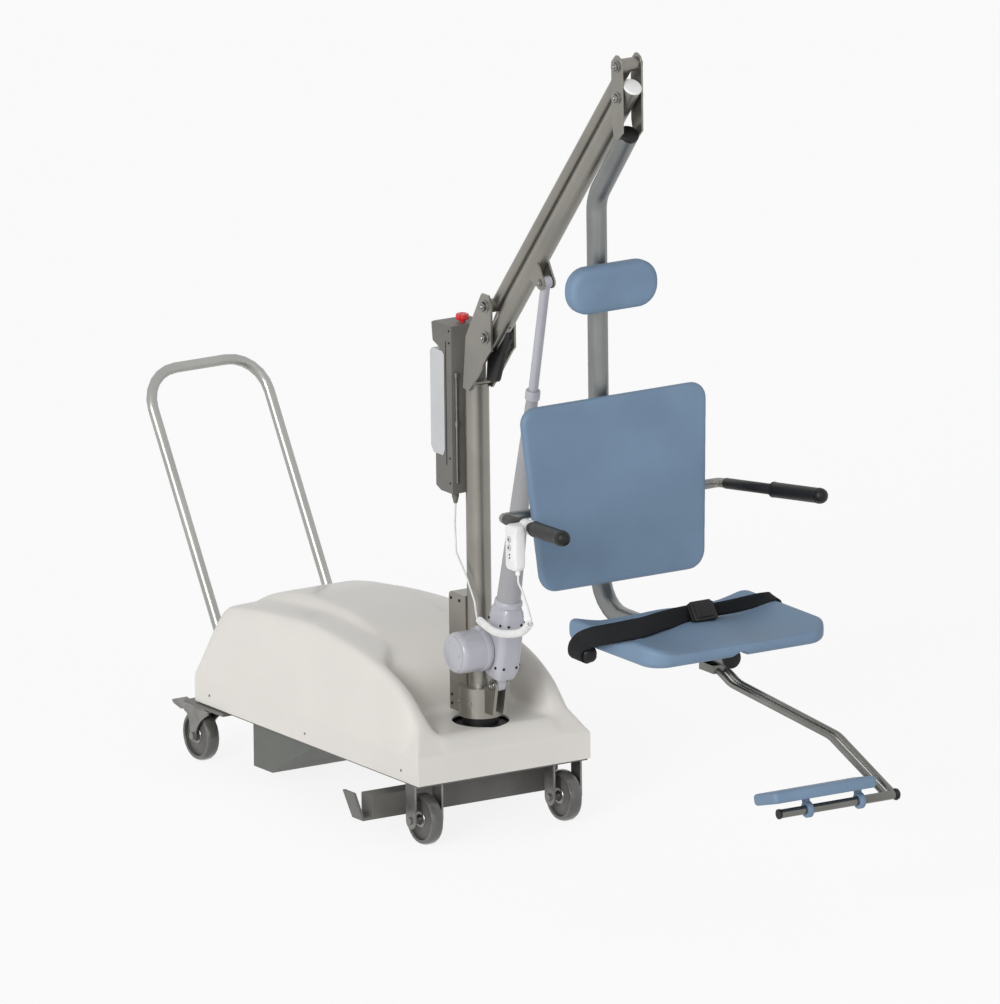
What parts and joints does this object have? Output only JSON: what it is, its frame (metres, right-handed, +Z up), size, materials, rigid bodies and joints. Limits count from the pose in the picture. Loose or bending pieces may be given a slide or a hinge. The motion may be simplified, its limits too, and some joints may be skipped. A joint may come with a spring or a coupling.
{
  "type": "pool patient lift",
  "caption": "Mobile pool lift: a ballasted cart on castors, a turning mast, a parallelogram boom raised by a linear actuator, and a hanging chair with arms, lap belt and footrest.",
  "frame": {"origin": "centre of the lift's footprint box, on the floor", "axes": "+X from the push handle towards the chair and footrest, +Y to the lift's right when seen from the push handle's opposite end, +Z up"},
  "size_m": [2.8244, 0.7752, 2.0737],
  "materials": {
    "cover_plastic": "satin, moulded",
    "frame_paint": "satin",
    "hopper_paint": "matt",
    "ballast_iron": "rough",
    "stainless": "polished",
    "bolt_steel": "bright",
    "caster_steel": "dull",
    "hub_plastic": "matt",
    "tyre_rubber": "matt",
    "black_plastic": "matt",
    "box_paint": "satin",
    "battery_plastic": "matt",
    "red_plastic": "glossy",
    "actuator_plastic": "satin",
    "white_plastic": "satin",
    "cord_plastic": "matt",
    "seat_plastic": "satin, moulded",
    "pad_foam": "satin, soft",
    "webbing": "woven"
  },
  "bodies": {
    "cart": {"chassis_frame": "frame_paint", "cover_shell": "cover_plastic", "ballast_hopper": "hopper_paint", "ballast_stack": "ballast_iron", "cross_beam": "frame_paint", "mast_socket": "black_plastic", "push_handle": "stainless", "front_fork_left": "caster_steel", "front_fork_right": "caster_steel"},
    "mast": {"mast_tube": "stainless", "mast_collar": "stainless", "mast_head": "stainless", "boom_pivot_bolt": "bolt_steel", "link_pivot_bolt": "bolt_steel", "control_box": "box_paint", "battery_pack": "battery_plastic", "cord_upper": "cord_plastic", "cord_curl": "cord_plastic"},
    "stop_button": {"emergency_button": "red_plastic"},
    "boom": {"boom_tube": "stainless", "boom_end_cap": "white_plastic", "stop_bracket": "black_plastic"},
    "upper_link": {"upper_link": "stainless"},
    "actuator": {"actuator_housing": "actuator_plastic", "actuator_motor": "actuator_plastic", "actuator_tube": "actuator_plastic"},
    "actuator_rod": {"actuator_rod": "actuator_plastic"},
    "carrier": {"head_plate_left": "stainless", "head_plate_right": "stainless", "head_bolt_lower": "bolt_steel", "head_bolt_upper": "bolt_steel", "seat_post": "stainless", "post_cap": "black_plastic", "post_plug": "black_plastic", "headrest_pad": "pad_foam", "backrest": "seat_plastic", "seat": "seat_plastic", "lap_belt": "webbing", "belt_buckle": "black_plastic", "footrest_frame": "stainless"},
    "footboard": {"footboard": "seat_plastic"},
    "arm_left": {"arm_left": "stainless", "grip_left": "black_plastic"},
    "arm_right": {"arm_right": "stainless", "grip_right": "black_plastic"},
    "handset": {"handset": "white_plastic", "cord_lower": "cord_plastic"},
    "front_wheel_left": {"front_hub_left": "hub_plastic", "front_tyre_left": "tyre_rubber"},
    "rear_swivel_left": {"rear_fork_left": "caster_steel"},
    "rear_wheel_left": {"rear_hub_left": "hub_plastic", "rear_tyre_left": "tyre_rubber"},
    "brake_pedal_left": {"brake_pedal_left": "caster_steel"},
    "front_wheel_right": {"front_hub_right": "hub_plastic", "front_tyre_right": "tyre_rubber"},
    "rear_swivel_right": {"rear_fork_right": "caster_steel"},
    "rear_wheel_right": {"rear_hub_right": "hub_plastic", "rear_tyre_right": "tyre_rubber"},
    "brake_pedal_right": {"brake_pedal_right": "caster_steel"}
  },
  "joints": [
    {"name": "front_wheel_left_roll", "type": "hinge", "parent": "cart", "child": "front_wheel_left", "pos_m": [-0.06307, -0.2, 0.0635], "axis": [0, 1, 0], "continuous": true},
    {"name": "rear_swivel_left_turn", "type": "hinge", "parent": "cart", "child": "rear_swivel_left", "pos_m": [-1.03507, -0.217, 0.15], "axis": [0, 0, 1], "continuous": true},
    {"name": "rear_wheel_left_roll", "type": "hinge", "parent": "rear_swivel_left", "child": "rear_wheel_left", "pos_m": [-1.06807, -0.217, 0.0635], "axis": [0, 1, 0], "continuous": true},
    {"name": "brake_pedal_left_press", "type": "hinge", "parent": "rear_swivel_left", "child": "brake_pedal_left", "pos_m": [-1.09907, -0.217, 0.128], "axis": [0, -1, 0], "range_deg": [0, 10]},
    {"name": "front_wheel_right_roll", "type": "hinge", "parent": "cart", "child": "front_wheel_right", "pos_m": [-0.06307, 0.2, 0.0635], "axis": [0, 1, 0], "continuous": true},
    {"name": "rear_swivel_right_turn", "type": "hinge", "parent": "cart", "child": "rear_swivel_right", "pos_m": [-1.03507, 0.217, 0.15], "axis": [0, 0, 1], "continuous": true},
    {"name": "rear_wheel_right_roll", "type": "hinge", "parent": "rear_swivel_right", "child": "rear_wheel_right", "pos_m": [-1.06807, 0.217, 0.0635], "axis": [0, 1, 0], "continuous": true},
    {"name": "brake_pedal_right_press", "type": "hinge", "parent": "rear_swivel_right", "child": "brake_pedal_right", "pos_m": [-1.09907, 0.217, 0.128], "axis": [0, -1, 0], "range_deg": [0, 10]},
    {"name": "mast_turn", "type": "hinge", "parent": "cart", "child": "mast", "pos_m": [-0.12007, 0, 0.285], "axis": [0, 0, 1], "range_deg": [-120, 120]},
    {"name": "stop_press", "type": "slide", "parent": "mast", "child": "stop_button", "axis": [0, 0, -1], "range_m": [0, 0.004]},
    {"name": "boom_lift", "type": "hinge", "parent": "mast", "child": "boom", "pos_m": [-0.02307, 0, 1.254], "axis": [0, -1, 0], "range_deg": [-60, 0]},
    {"name": "link_swing", "type": "hinge", "parent": "mast", "child": "upper_link", "pos_m": [-0.02307, 0, 1.332], "axis": [0, -1, 0], "range_deg": [-60, 0]},
    {"name": "head_level", "type": "hinge", "parent": "boom", "child": "carrier", "pos_m": [0.57665, 0, 1.96872], "axis": [0, -1, 0], "range_deg": [0, 60]},
    {"name": "actuator_swing", "type": "hinge", "parent": "mast", "child": "actuator", "pos_m": [-0.03507, 0, 0.376], "axis": [0, -1, 0], "range_deg": [-9, 0]},
    {"name": "actuator_extend", "type": "slide", "parent": "actuator", "child": "actuator_rod", "axis": [0.217, 0, 0.9762], "range_m": [-0.252, 0]},
    {"name": "arm_left_flip", "type": "hinge", "parent": "carrier", "child": "arm_left", "pos_m": [0.48293, -0.288, 0.947], "axis": [0, -1, 0], "range_deg": [0, 90]},
    {"name": "arm_right_flip", "type": "hinge", "parent": "carrier", "child": "arm_right", "pos_m": [0.48293, 0.288, 0.947], "axis": [0, -1, 0], "range_deg": [0, 90]},
    {"name": "footboard_flip", "type": "hinge", "parent": "carrier", "child": "footboard", "pos_m": [1.36693, 0, 0.366], "axis": [0, 1, 0], "range_deg": [0, 80]},
    {"name": "handset_swing", "type": "hinge", "parent": "arm_left", "child": "handset", "pos_m": [0.63707, -0.33478, 0.96086], "axis": [0.9835, -0.1581, 0.0884], "range_deg": [-15, 15]}
  ],
  "couplings": [
    {"joint": "link_swing", "follows": "boom_lift", "ratio": 1},
    {"joint": "head_level", "follows": "boom_lift", "ratio": -1},
    {"joint": "actuator_swing", "follows": "boom_lift", "ratio": 0.14},
    {"joint": "actuator_extend", "follows": "boom_lift", "m_per_rad": 0.238}
  ]
}
